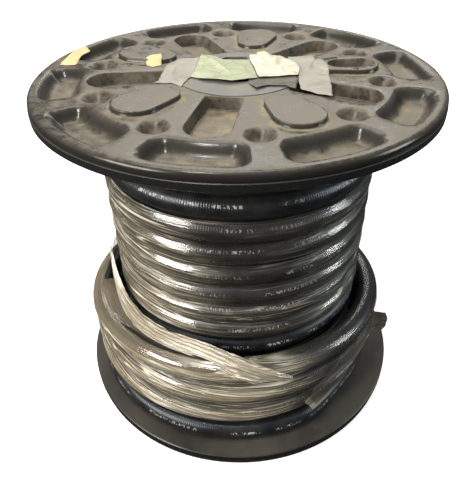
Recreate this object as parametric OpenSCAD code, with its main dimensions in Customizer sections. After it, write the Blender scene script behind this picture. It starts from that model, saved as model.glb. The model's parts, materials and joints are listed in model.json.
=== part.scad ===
// Flanged plastic reel wound with black rubber hydraulic hose, partly wrapped in stretch film.
// Origin at the centre of the face it stands on, +Z up along the reel's axis, millimetres.

/* [Flanges] */
// Diameter of each flange
flange_d = 560; // [540:5:600]
// Distance between the two outer flange faces
span = 525; // [515:1:560]
// Thickness of a flange: moulding and facing disc together
flange_t = 22.5; // [21:0.5:24]
// Thickness of the flat facing disc on the hose side
disc_t = 3.5; // [3:0.5:5]
// Height of the raised pads on the outer face
pad_h = 6.5; // [4:0.5:8]
// Depth of the kidney pockets near the rim
pocket_depth = 15; // [10:0.5:16]
// Depth of the radial slots
slot_depth = 17.5; // [12:0.5:17.5]
// Depth of the conical dimples
dimple_depth = 13; // [8:0.5:15]

/* [Core] */
// Outer radius of the barrel that the hose is wound on
barrel_r = 135.5; // [132:0.5:135.5]
// Wall thickness of the barrel
barrel_wall = 7; // [4:0.5:10]
// Radius of the arbor bore
arbor_r = 38; // [30:1:45]
// Distance of the tie rods from the axis
rod_circle_r = 114; // [112:1:116]
// Diameter of a tie rod
rod_d = 10; // [8:1:10]

/* [Hose] */
// Outside diameter of the hose
hose_d = 35; // [34:0.1:35]
// Height from one turn of the main winding to the next
turn_pitch = 35.1; // [35.1:0.1:36]
// Number of turns in a layer of the main winding
turns = 13; // [10:1:13]
// Radius from the axis to the hose's centre line in the outermost layer
layer_r = 184.5; // [184:0.25:184.75]
// Radius of the loose outer turns, to the hose's centre line
outer_r = 231.2; // [231.2:0.2:233]
// Height from one loose outer turn to the next at the sides
outer_pitch = 42; // [42:0.5:44]
// Number of loose outer turns
outer_turns = 4; // [3:1:4]
// How much more each loose turn rises to the front than the one below
outer_rise = 6.9; // [0:0.1:6.9]
// How far the loose turns sit off the axis, towards -X
outer_shift = 7.5; // [0:0.5:7.5]
// How far the loose turns sit off the axis, towards the front
outer_forward = 8; // [0:0.5:8]

/* [Film, papers and tapes] */
// Thickness given to the stretch film
film_t = 0.8; // [0.6:0.1:1]
// Thickness given to a tape
tape_t = 0.6; // [0.4:0.1:0.8]
// Thickness given to a paper
paper_t = 0.4; // [0.3:0.1:0.6]

/* [Hidden] */
$fn = 96;

flange_r = flange_d / 2;
// The five-fold pattern of both flanges: the direction of the first slot, and the step
pattern_a = 259;
step5 = 72;
step10 = 36;

// Rim: the facing disc has an upturned rim, and the moulding's rim sits on it with a fine seam
rim_w = 7;
rim_split = 11;
seam = 0.7;
rim_step = 1;
rim_round = 6;
rim_gap = 0.3;

// Kidney pockets
pocket_r = 238.5;
pocket_half_w = 27.5;
pocket_half_a = 8;
pocket_slope = 7;
pocket_mouth = 6;

// Radial slots: straight flanks that open outwards, and a round outer end
slot_in = 87.5;
slot_half_in = 24.5;
slot_end_r = 27.5;
slot_end = 176.5;

// Conical dimples
dimple_r = 196;
dimple_mouth = 21;
dimple_floor = 6;

// Raised pads: two round ends and straight flanks. One pad has an oval recess
pad_in = 130;
pad_in_r = 24;
pad_out = 167;
pad_out_r = 32;
recess_pad = 1;
recess_depth = 12;
recess_r = 15.5;
recess_from = 143;
recess_to = 179;

// Arbor rings: a spigot through the flange, with a thin collar and an oval recess on the outer face
spigot_r = 72;
collar_r = 86.5;
collar_t = 1.2;
oval_a = 93;
oval_at = 58;
oval_half = 11;
oval_r = 8;
oval_depth = 14;

// Tie rods hold the facing discs to the barrel; their nuts sit under the pads, covered by the moulding
rod_clear = 0.5;
washer_r = 12;
washer_t = 2.5;
nut_af = 17;
nut_t = 8;
rod_stand = 2;
rod_reach = disc_t + washer_t + nut_t + rod_stand;
rod_pocket_r = 14;

// Heights
low_face = pad_h;
low_in = low_face + flange_t;
high_face = low_face + span;
high_in = high_face - flange_t;

// Hose layers: the space between the barrel and the outer layer is filled by the inner one
wind_gap = 0.2;
first_turn = low_in + hose_d / 2 + wind_gap;
winding_r = layer_r + hose_d / 2;

// Film heights
main_film_low = 216;
main_film_top = 420;
outer_film_low = 70;
outer_film_low_rise = 8;
outer_film_over = 6.5;
film_gap = 0.2;
// Direction in which the wrap's loose corner touches the turns
tail_a = -47;

// Papers and tapes lie on the collar of the upper ring, tapes over the pads lie on the pads
lay_z = high_face + collar_t + 0.1;
over_z = lay_z + tape_t + 0.1;
pad_z = high_face + pad_h + 0.1;

// The gathered film strand: angle, radius and height of the points that it runs through
strand_way = [
    [-168, 212, 264], [-160, 214, 243], [-148, 217, 231], [-136, 219, 227], [-126, 221, 227],
    [-118, 224, 227], [-109, 229, 226], [-101, 236, 223], [-93, 250, 216], [-87, 260, 206],
    [-80, 262, 193], [-73, 262, 182]
];
strand_w = 3;
strand_sides = 8;

// ---- Shared shapes ----

// A kidney pocket in two steps: a wide shallow mouth and a narrower floor
module pocket_cutter() {
    for (step = [[pocket_half_w, pocket_mouth], [pocket_half_w - pocket_slope, pocket_depth]]) {
        rotate([0, 0, -pocket_half_a])
            rotate_extrude(angle = 2 * pocket_half_a)
                translate([pocket_r - step[0], -step[1]])
                    square([2 * step[0], step[1]]);
        for (a = [-pocket_half_a, pocket_half_a])
            rotate([0, 0, a])
                translate([pocket_r, 0, -step[1]])
                    cylinder(r = step[0], h = step[1]);
    }
}

// Outline with two round ends and straight flanks, along +X
module tapered_bar(from, from_r, to, to_r) {
    lean = asin((to_r - from_r) / (to - from));
    s = sin(lean);
    c = cos(lean);
    union() {
        translate([from, 0])
            circle(r = from_r);
        translate([to, 0])
            circle(r = to_r);
        polygon([
            [from - from_r * s, from_r * c], [to - to_r * s, to_r * c],
            [to - to_r * s, -to_r * c], [from - from_r * s, -from_r * c]
        ]);
    }
}

module slot_outline() {
    polygon([
        [slot_in, -slot_half_in], [slot_end, -slot_end_r], [slot_end, slot_end_r], [slot_in, slot_half_in]
    ]);
    translate([slot_end, 0])
        circle(r = slot_end_r);
}

module around(count, first) {
    for (i = [0:count - 1])
        rotate([0, 0, first + i * 360 / count])
            children();
}

// Puts a flange part, drawn with its hose side at z = 0, on the top of the reel
module at_top() {
    translate([0, 0, high_in])
        children();
}

// The same part turned over for the bottom, with its slots below the upper ones
module at_bottom() {
    translate([0, 0, low_in])
        rotate([0, 0, 2 * pattern_a])
            rotate([180, 0, 0])
                children();
}

// ---- Flange parts, outer face up, hose side at z = 0 ----

module moulding_body() {
    inner = flange_r - rim_w - rim_gap;
    outer = flange_r - rim_step;
    arc = [for (a = [0:15:90]) [
        outer - rim_round + rim_round * cos(a), flange_t - rim_round + rim_round * sin(a)
    ]];
    rotate_extrude()
        polygon(concat(
            [[spigot_r, disc_t], [inner, disc_t], [inner, rim_split + seam], [outer, rim_split + seam]],
            arc,
            [[spigot_r, flange_t]]
        ));
}

module flange_moulding() {
    difference() {
        union() {
            moulding_body();
            around(5, pattern_a + step10)
                translate([0, 0, flange_t - 1])
                    linear_extrude(pad_h + 1)
                        tapered_bar(pad_in, pad_in_r, pad_out, pad_out_r);
        }
        around(10, pattern_a)
            translate([0, 0, flange_t + 0.01])
                pocket_cutter();
        around(10, pattern_a + step10 / 2)
            translate([dimple_r, 0, flange_t - dimple_depth])
                cylinder(r1 = dimple_floor, r2 = dimple_mouth, h = dimple_depth + 0.01);
        around(5, pattern_a)
            translate([0, 0, flange_t - slot_depth])
                linear_extrude(slot_depth + 1)
                    slot_outline();
        around(5, pattern_a + step10)
            translate([rod_circle_r, 0, 0])
                cylinder(r = rod_pocket_r, h = rod_reach + 1);
        rotate([0, 0, pattern_a + step10 + recess_pad * step5])
            translate([0, 0, flange_t + pad_h - recess_depth])
                linear_extrude(recess_depth + 1) {
                    translate([recess_from, -recess_r])
                        square([recess_to - recess_from, 2 * recess_r]);
                    translate([recess_from, 0])
                        circle(r = recess_r);
                    translate([recess_to, 0])
                        circle(r = recess_r);
                }
    }
}

module flange_disc() {
    difference() {
        rotate_extrude()
            polygon([
                [spigot_r, 0], [flange_r - 1.5, 0], [flange_r, 1.5], [flange_r, rim_split - 0.8],
                [flange_r - 0.8, rim_split], [flange_r - rim_w, rim_split], [flange_r - rim_w, disc_t],
                [spigot_r, disc_t]
            ]);
        around(5, pattern_a + step10)
            translate([rod_circle_r, 0, -1])
                cylinder(r = rod_d / 2 + rod_clear, h = disc_t + 2);
    }
}

module arbor_ring() {
    difference() {
        rotate_extrude()
            polygon([
                [arbor_r, 0], [spigot_r, 0], [spigot_r, flange_t], [collar_r, flange_t],
                [collar_r, flange_t + collar_t - 0.5], [collar_r - 0.5, flange_t + collar_t],
                [arbor_r, flange_t + collar_t]
            ]);
        rotate([0, 0, oval_a])
            translate([oval_at, 0, flange_t + collar_t - oval_depth])
                linear_extrude(oval_depth + 1) {
                    translate([-oval_r, -oval_half])
                        square([2 * oval_r, 2 * oval_half]);
                    for (side = [-1, 1])
                        translate([0, side * oval_half])
                            circle(r = oval_r);
                }
    }
}

module rod_washers() {
    around(5, pattern_a + step10)
        translate([rod_circle_r, 0, disc_t])
            difference() {
                cylinder(r = washer_r, h = washer_t);
                translate([0, 0, -1])
                    cylinder(r = rod_d / 2, h = washer_t + 2);
            }
}

module rod_nuts() {
    around(5, pattern_a + step10)
        translate([rod_circle_r, 0, disc_t + washer_t])
            difference() {
                cylinder(r = nut_af / 2 / cos(30), h = nut_t, $fn = 6);
                translate([0, 0, -1])
                    cylinder(r = rod_d / 2, h = nut_t + 2);
            }
}

// ---- Nodes ----

module lower_flange_moulding() {
    color([0.16, 0.16, 0.15])
        at_bottom()
            flange_moulding();
}

module lower_flange_disc() {
    color([0.25, 0.24, 0.21])
        at_bottom()
            flange_disc();
}

module upper_flange_moulding() {
    color([0.30, 0.29, 0.26])
        at_top()
            flange_moulding();
}

module upper_flange_disc() {
    color([0.13, 0.13, 0.13])
        at_top()
            flange_disc();
}

module lower_arbor_ring() {
    color([0.33, 0.34, 0.36])
        at_bottom()
            arbor_ring();
}

module upper_arbor_ring() {
    color([0.40, 0.41, 0.43])
        at_top()
            arbor_ring();
}

module barrel() {
    color([0.12, 0.12, 0.12])
        translate([0, 0, low_in])
            difference() {
                cylinder(r = barrel_r, h = high_in - low_in);
                translate([0, 0, -1])
                    cylinder(r = barrel_r - barrel_wall, h = high_in - low_in + 2);
            }
}

module tie_rods() {
    color([0.55, 0.55, 0.53])
        around(5, pattern_a + step10)
            translate([rod_circle_r, 0, low_in - rod_reach])
                cylinder(r = rod_d / 2, h = high_in - low_in + 2 * rod_reach);
}

module lower_rod_washers() {
    color([0.60, 0.60, 0.58])
        at_bottom()
            rod_washers();
}

module upper_rod_washers() {
    color([0.60, 0.60, 0.58])
        at_top()
            rod_washers();
}

module lower_rod_nuts() {
    color([0.50, 0.50, 0.48])
        at_bottom()
            rod_nuts();
}

module upper_rod_nuts() {
    color([0.50, 0.50, 0.48])
        at_top()
            rod_nuts();
}

// Two nested layers of closed turns, standing for the one continuous hose
module hose_main_winding() {
    core_in = barrel_r + wind_gap;
    color([0.10, 0.10, 0.11])
        rotate_extrude() {
            translate([core_in, first_turn - hose_d / 2])
                square([layer_r + 5 - core_in, (turns - 1) * turn_pitch + hose_d]);
            for (i = [0:turns - 1])
                translate([layer_r, first_turn + i * turn_pitch])
                    circle(d = hose_d);
        }
}

// Leans its children about an axis along X through the loose turns' middle, higher by rise at their front
module leaning(height, rise) {
    translate([-outer_shift, -outer_forward, height])
        rotate([-asin(rise / outer_r), 0, 0])
            children();
}

// Leans its children with the top loose turn
module with_top_turn() {
    leaning(first_turn + (outer_turns - 1) * outer_pitch, (outer_turns - 1) * outer_rise)
        children();
}

// Closed turns, each leaning more than the one below, so that they lie close at the back and open to the front
module hose_outer_turns() {
    color([0.14, 0.14, 0.14])
        for (i = [0:outer_turns - 1])
            leaning(first_turn + i * outer_pitch, i * outer_rise)
                rotate_extrude()
                    translate([outer_r, 0])
                        circle(d = hose_d);
}

module film_main_wrap() {
    inner = winding_r + film_gap;
    color([0.62, 0.60, 0.50, 0.5])
        translate([0, 0, main_film_low])
            difference() {
                cylinder(r = inner + film_t, h = main_film_top - main_film_low);
                translate([0, 0, -1])
                    cylinder(r = inner, h = main_film_top - main_film_low + 2);
            }
}

module film_outer_wrap() {
    inner = outer_r + hose_d / 2 + film_gap;
    block = 2 * flange_d;
    color([0.70, 0.64, 0.50, 0.5])
        difference() {
            translate([-outer_shift, -outer_forward, low_in + 1])
                cylinder(r = inner + film_t, h = 220);
            translate([-outer_shift, -outer_forward, low_in])
                cylinder(r = inner, h = 222);
            with_top_turn()
                translate([-block / 2, -block / 2, outer_film_over])
                    cube(block);
            leaning(outer_film_low, outer_film_low_rise)
                translate([-block / 2, -block / 2, -block])
                    cube(block);
        }
}

// Film drawn from the top loose turn in to the main winding, open at the right-hand side
module film_shoulder() {
    color([0.74, 0.68, 0.54, 0.5])
        with_top_turn()
            rotate([0, 0, 100])
                rotate_extrude(angle = 165)
                    polygon([
                        [outer_r + 17.5, 9], [outer_r + 9, 17.4], [outer_r, 19], [outer_r - 21, 22],
                        [outer_r - 21, 22 + film_t], [outer_r, 19 + film_t], [outer_r + 9.5, 17.4 + film_t],
                        [outer_r + 18.3, 9 + film_t]
                    ]);
}

// Points of a ring around the strand at one of its way points, flattened along the radius
function strand_ring(i) =
    let (
        way = strand_way[i],
        a = way[0],
        grow = sin(180 * (i + 0.6) / len(strand_way))
    )
    [for (k = [0:strand_sides - 1])
        let (
            t = 360 * k / strand_sides,
            r = way[1] + strand_w * 0.5 * (0.6 + grow) * cos(t),
            z = way[2] + strand_w * (0.6 + grow) * sin(t)
        )
        [r * cos(a), r * sin(a), z]
    ];

module film_strand() {
    rings = [for (i = [0:len(strand_way) - 1]) strand_ring(i)];
    n = strand_sides;
    last = (len(strand_way) - 1) * n;
    sides = [for (i = [0:len(strand_way) - 2], k = [0:n - 1])
        [i * n + k, i * n + (k + 1) % n, (i + 1) * n + (k + 1) % n, (i + 1) * n + k]];
    color([0.76, 0.70, 0.56])
        polyhedron(
            points = [for (ring = rings, p = ring) p],
            faces = concat(sides, [[for (k = [n - 1:-1:0]) k]], [[for (k = [0:n - 1]) last + k]]),
            convexity = 4
        );
}

// Loose lower corner of the outer wrap: pulled straight, so it is a flat piece that touches the wrap along one line
module film_tail() {
    inner = outer_r + hose_d / 2 + 2 * film_gap + film_t;
    color([0.78, 0.72, 0.60, 0.5])
        translate([-outer_shift, -outer_forward, 0])
            rotate([0, 0, tail_a])
                translate([inner, 0, 0])
                    rotate([90, 0, 90])
                        linear_extrude(film_t)
                            polygon([[-66, 90], [-56, 68], [60, 164], [54, 182], [0, 171], [-50, 147]]);
}

// Folded end of the film, standing out at the right-hand side
module film_end_tab() {
    color([0.60, 0.58, 0.50, 0.6])
        translate([233, -78, 95])
            rotate([90, 0, 0])
                linear_extrude(1.2)
                    polygon([[0, 5], [7, 0], [18, 0], [25, 8], [25, 39], [18, 48], [6, 49], [0, 46]]);
}

module laid(outline, z, t) {
    translate([0, 0, z])
        linear_extrude(t)
            polygon(outline);
}

// A tape that lies on the flange at the height low and climbs the rounded inner end of one pad
module tape_over_pad(outline, pad_angle, low) {
    inner = pad_in_r + 0.2;
    at = [pad_in * cos(pad_angle), pad_in * sin(pad_angle)];
    intersection() {
        laid(outline, low, pad_z + tape_t - low);
        union() {
            difference() {
                translate([-flange_r, -flange_r, low])
                    cube([2 * flange_r, 2 * flange_r, tape_t]);
                translate([at[0], at[1], low - 1])
                    cylinder(r = inner, h = tape_t + 2);
            }
            translate([at[0], at[1], low])
                difference() {
                    cylinder(r = inner + tape_t, h = pad_z + tape_t - low);
                    translate([0, 0, -1])
                        cylinder(r = inner, h = pad_z - low + 1);
                }
        }
    }
}

module duct_tape_left() {
    color([0.62, 0.61, 0.60])
        laid([
            [-102, 34], [-88, 62], [-55, 66], [-57, 30], [-60, -15], [-66, -28], [-74, -53], [-87, -39],
            [-112, -36], [-106, -31]
        ], lay_z, tape_t);
}

module duct_tape_right() {
    color([0.64, 0.63, 0.62])
        tape_over_pad([
            [74, 64], [112, 70], [114, 49], [121, 30], [125, 8], [124, -36], [118, -88], [100, -81],
            [81, -64], [81, -34], [87, 13], [76, 49]
        ], pattern_a + step10 + step5, lay_z);
}

module note_green() {
    color([0.80, 0.87, 0.68])
        laid([
            [-54, 78], [-36, 66], [-21, 49], [17, 47], [24, 0], [27, -31], [11, -38], [-8, -44], [-30, -36],
            [-47, -32], [-63, -21], [-59, 0], [-56, 42]
        ], over_z, paper_t);
}

module note_cream() {
    color([0.93, 0.90, 0.82])
        laid([
            [18, 67], [28, 70], [32, 86], [40, 74], [51, 66], [60, 64], [71, 51], [74, 55], [83, 36],
            [87, 13], [84, -8], [81, -23], [64, -28], [28, -31], [25, 0], [18, 47]
        ], over_z, paper_t);
}

module kraft_flap() {
    color([0.45, 0.42, 0.36])
        laid([
            [14, -46], [24, -66], [40, -55], [63, -57], [74, -66], [79, -36], [79, -10], [16, -10]
        ], lay_z, paper_t);
}

module masking_tape_rim() {
    color([0.86, 0.80, 0.60])
        laid([
            [-238, 126], [-226, 102], [-233, 79], [-232, 37], [-255, 38], [-256, 51], [-250, 104], [-244, 122]
        ], high_face + 0.1, paper_t);
}

module masking_tape_flag() {
    color([0.84, 0.77, 0.56])
        tape_over_pad([
            [-133, 46], [-124, 60], [-112, 63], [-109, 50], [-109, 34], [-120, 26], [-130, 34]
        ], pattern_a + step10 + 3 * step5, high_face + 0.1);
}

lower_flange_moulding();
lower_flange_disc();
upper_flange_moulding();
upper_flange_disc();
lower_arbor_ring();
upper_arbor_ring();
barrel();
tie_rods();
lower_rod_washers();
upper_rod_washers();
lower_rod_nuts();
upper_rod_nuts();
hose_main_winding();
hose_outer_turns();
film_main_wrap();
film_outer_wrap();
film_shoulder();
film_strand();
film_tail();
film_end_tab();
duct_tape_left();
duct_tape_right();
note_green();
note_cream();
kraft_flap();
masking_tape_rim();
masking_tape_flag();
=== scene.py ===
"""Looks of a flanged hose reel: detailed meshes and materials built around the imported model, in metres."""

import json
import math

import bmesh
import bpy
import numpy as np
from mathutils import Matrix, Vector, geometry, noise
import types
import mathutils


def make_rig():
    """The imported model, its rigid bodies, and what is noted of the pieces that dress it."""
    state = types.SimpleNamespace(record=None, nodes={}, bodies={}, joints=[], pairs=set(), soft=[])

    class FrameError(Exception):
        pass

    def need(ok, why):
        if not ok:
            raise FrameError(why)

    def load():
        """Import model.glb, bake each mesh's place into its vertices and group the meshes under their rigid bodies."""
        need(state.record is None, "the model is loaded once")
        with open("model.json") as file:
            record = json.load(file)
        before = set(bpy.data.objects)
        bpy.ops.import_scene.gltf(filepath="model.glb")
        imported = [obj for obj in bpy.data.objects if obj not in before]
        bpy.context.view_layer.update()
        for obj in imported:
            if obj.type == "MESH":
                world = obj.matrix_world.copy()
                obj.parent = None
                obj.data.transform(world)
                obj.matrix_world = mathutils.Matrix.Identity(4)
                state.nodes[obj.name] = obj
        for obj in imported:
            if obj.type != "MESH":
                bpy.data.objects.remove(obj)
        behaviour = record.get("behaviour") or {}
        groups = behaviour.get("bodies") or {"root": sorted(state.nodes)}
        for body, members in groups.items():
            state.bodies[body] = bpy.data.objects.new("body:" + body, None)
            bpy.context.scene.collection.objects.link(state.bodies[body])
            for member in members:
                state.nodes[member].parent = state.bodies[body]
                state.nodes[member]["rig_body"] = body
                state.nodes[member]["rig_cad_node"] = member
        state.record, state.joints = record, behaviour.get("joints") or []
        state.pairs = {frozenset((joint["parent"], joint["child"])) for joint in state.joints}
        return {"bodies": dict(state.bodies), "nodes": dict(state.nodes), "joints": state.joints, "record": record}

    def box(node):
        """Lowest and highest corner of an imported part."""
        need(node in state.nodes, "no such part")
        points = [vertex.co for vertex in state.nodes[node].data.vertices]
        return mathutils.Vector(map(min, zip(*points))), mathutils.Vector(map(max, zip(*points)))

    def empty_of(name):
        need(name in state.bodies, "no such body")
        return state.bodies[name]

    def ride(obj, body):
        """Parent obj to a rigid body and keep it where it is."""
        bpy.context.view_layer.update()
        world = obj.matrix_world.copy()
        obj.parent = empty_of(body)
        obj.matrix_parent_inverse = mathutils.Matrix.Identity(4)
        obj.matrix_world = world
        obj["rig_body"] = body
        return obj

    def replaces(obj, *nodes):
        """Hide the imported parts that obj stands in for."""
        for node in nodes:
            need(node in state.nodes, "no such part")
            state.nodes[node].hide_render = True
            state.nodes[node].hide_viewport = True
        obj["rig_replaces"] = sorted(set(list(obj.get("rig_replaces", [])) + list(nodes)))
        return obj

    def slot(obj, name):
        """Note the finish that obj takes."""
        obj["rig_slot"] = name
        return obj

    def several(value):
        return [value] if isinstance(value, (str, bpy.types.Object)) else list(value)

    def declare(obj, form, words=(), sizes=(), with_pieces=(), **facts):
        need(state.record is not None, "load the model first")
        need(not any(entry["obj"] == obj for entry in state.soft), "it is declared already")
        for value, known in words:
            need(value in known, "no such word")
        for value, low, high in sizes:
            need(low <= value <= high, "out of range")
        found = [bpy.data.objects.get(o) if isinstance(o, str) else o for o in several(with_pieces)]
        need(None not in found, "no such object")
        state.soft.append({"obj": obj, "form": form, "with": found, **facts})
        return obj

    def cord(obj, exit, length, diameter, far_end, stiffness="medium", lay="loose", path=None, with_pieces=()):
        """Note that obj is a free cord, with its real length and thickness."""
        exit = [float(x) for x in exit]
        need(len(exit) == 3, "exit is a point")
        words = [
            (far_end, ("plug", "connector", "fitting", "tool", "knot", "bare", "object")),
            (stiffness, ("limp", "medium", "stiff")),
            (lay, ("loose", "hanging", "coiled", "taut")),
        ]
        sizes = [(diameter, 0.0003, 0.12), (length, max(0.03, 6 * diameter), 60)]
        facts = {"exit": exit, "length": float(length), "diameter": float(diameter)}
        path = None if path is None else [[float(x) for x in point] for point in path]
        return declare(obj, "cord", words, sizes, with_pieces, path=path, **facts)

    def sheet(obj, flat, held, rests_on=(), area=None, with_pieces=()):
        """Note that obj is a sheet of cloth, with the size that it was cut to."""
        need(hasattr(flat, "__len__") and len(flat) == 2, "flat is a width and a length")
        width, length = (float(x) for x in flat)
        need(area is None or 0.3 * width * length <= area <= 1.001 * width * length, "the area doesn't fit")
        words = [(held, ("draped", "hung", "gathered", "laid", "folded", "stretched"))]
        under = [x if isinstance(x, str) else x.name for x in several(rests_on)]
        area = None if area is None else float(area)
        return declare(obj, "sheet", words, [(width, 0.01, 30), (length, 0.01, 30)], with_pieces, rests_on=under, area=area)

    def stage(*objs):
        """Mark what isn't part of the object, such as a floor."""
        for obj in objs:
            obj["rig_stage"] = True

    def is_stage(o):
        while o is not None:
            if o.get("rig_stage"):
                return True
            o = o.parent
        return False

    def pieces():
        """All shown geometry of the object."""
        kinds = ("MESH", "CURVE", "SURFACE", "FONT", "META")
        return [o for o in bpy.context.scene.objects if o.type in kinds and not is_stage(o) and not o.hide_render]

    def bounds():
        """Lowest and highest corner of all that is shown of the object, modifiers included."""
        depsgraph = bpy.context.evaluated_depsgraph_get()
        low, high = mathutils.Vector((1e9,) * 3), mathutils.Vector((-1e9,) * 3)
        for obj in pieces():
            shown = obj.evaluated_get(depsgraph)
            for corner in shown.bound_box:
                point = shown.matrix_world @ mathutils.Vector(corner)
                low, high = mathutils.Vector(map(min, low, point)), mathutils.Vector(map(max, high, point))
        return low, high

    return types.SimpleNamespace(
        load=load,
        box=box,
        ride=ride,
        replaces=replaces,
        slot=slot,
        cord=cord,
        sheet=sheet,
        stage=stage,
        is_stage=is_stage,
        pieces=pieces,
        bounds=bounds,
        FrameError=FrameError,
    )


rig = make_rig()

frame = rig.load()
cad_low, cad_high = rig.bounds()
BODY = "root"
MM = 0.001

# ---- Sizes taken from the frame ----

FLANGE_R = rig.box("upper_flange_disc")[1].x
HIGH_IN, LOW_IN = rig.box("upper_flange_disc")[0].z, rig.box("lower_flange_disc")[1].z
PAD_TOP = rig.box("upper_flange_moulding")[1].z
PAD_H = 6.5 * MM
FLANGE_T = PAD_TOP - PAD_H - HIGH_IN
HIGH_FACE = HIGH_IN + FLANGE_T

WIND_LOW, WIND_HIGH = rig.box("hose_main_winding")
LOOSE_LOW, LOOSE_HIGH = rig.box("hose_outer_turns")
HOSE_R, HOSE_BORE_R = 17.5 * MM, 12.7 * MM
# Where the printed line is across the hose's UV map
LINE_AROUND = math.pi * HOSE_R
PITCH = 35.1 * MM
TURNS = round((WIND_HIGH.z - WIND_LOW.z) / PITCH)
LAYER_R = WIND_HIGH.x - HOSE_R
LOOSE_R = (LOOSE_HIGH.x - LOOSE_LOW.x) / 2 - HOSE_R
# The loose turns sit off the axis. Each rises to the front by RISE more than the one below, and sinks behind
LOOSE_X, LOOSE_Y = (LOOSE_LOW.x + LOOSE_HIGH.x) / 2, (LOOSE_LOW.y + LOOSE_HIGH.y) / 2
RISE = 6.9 * MM
FIRST_Z = WIND_LOW.z + HOSE_R
LOOSE_TOP_Z = LOOSE_HIGH.z - HOSE_R

# The five-fold pattern of a flange
PATTERN = math.radians(259)
STEP5, STEP10 = math.radians(72), math.radians(36)
SPIGOT_R = 72 * MM


# ---- Camera ----

def make_camera():
    """The photograph's view: 38.4 degrees down, from in front of the reel and above its top."""
    data = bpy.data.cameras.new("camera")
    cam = bpy.data.objects.new("camera", data)
    bpy.context.scene.collection.objects.link(cam)
    data.lens = 38.21
    data.shift_x = -0.0037
    data.shift_y = 0.0279
    pitch, roll = math.radians(90 - 38.38), math.radians(-0.53)
    cam.matrix_world = (
        Matrix.Translation((0, -0.7063, 0.7729))
        @ Matrix.Rotation(pitch, 4, "X")
        @ Matrix.Rotation(roll, 4, "Z")
    )
    bpy.context.scene.camera = cam


# ---- Small helpers ----

def smooth(t):
    """Smooth step of t, held to 0 and 1 outside."""
    t = np.clip(t, 0, 1)
    return t * t * (3 - 2 * t)


def rough(x, y, z=0.0):
    """Perlin noise of a point, from about -1 to 1."""
    return noise.noise(Vector((x, y, z)))


def make_object(name, points, faces, material, sharp=None, paint=None, uv=None):
    """A smooth mesh object. paint and uv are per point, and edges of more than sharp degrees stay sharp."""
    mesh = bpy.data.meshes.new(name)
    mesh.from_pydata([tuple(p) for p in points], [], faces)
    for key, values in (paint or {}).items():
        layer = mesh.attributes.new(key, "FLOAT", "POINT")
        layer.data.foreach_set("value", np.asarray(values, np.float32))
    if uv is not None:
        corners = np.zeros(len(mesh.loops), np.int32)
        mesh.loops.foreach_get("vertex_index", corners)
        set_uv(mesh, np.asarray(uv)[corners])
    mesh.shade_smooth()
    if sharp:
        mesh.set_sharp_from_angle(angle=math.radians(sharp))
    mesh.materials.append(material)
    obj = bpy.data.objects.new(name, mesh)
    bpy.context.scene.collection.objects.link(obj)
    return obj


def set_uv(mesh, corners):
    """Adds a UV map with that place for every face corner."""
    mesh.uv_layers.new(name="UVMap").data.foreach_set("uv", np.asarray(corners, np.float32).ravel())


def unit(vectors):
    """Each row scaled to length 1."""
    return vectors / np.linalg.norm(vectors, axis=1, keepdims=True)


def add_node(tree, kind, inputs=None, out=0, **settings):
    """Adds a shader node, sets or links its inputs, and returns one of its outputs."""
    made = tree.nodes.new("ShaderNode" + kind)
    for key, value in settings.items():
        setattr(made, key, value)
    for key, value in (inputs or {}).items():
        if isinstance(value, bpy.types.NodeSocket):
            tree.links.new(value, made.inputs[key])
        else:
            made.inputs[key].default_value = value
    return made.outputs[out] if made.outputs else None


def outward(obj):
    """Turns all faces of a closed mesh outwards."""
    bm = bmesh.new()
    bm.from_mesh(obj.data)
    bmesh.ops.recalc_face_normals(bm, faces=bm.faces)
    bm.to_mesh(obj.data)
    bm.free()


def grid_faces(rows, columns, closed=False):
    """Quads of a grid of points kept row by row, the columns joined round when closed."""
    across = columns if closed else columns - 1
    return [
        (i * columns + j, i * columns + (j + 1) % columns,
         (i + 1) * columns + (j + 1) % columns, (i + 1) * columns + j)
        for i in range(rows - 1) for j in range(across)
    ]


def add_piece(obj, slot, *nodes):
    """Declares a finished piece: it rides on the reel, takes slot's finish and stands for nodes."""
    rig.slot(obj, slot)
    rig.ride(obj, BODY)
    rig.replaces(obj, *nodes)


# ---- Materials ----

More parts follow.
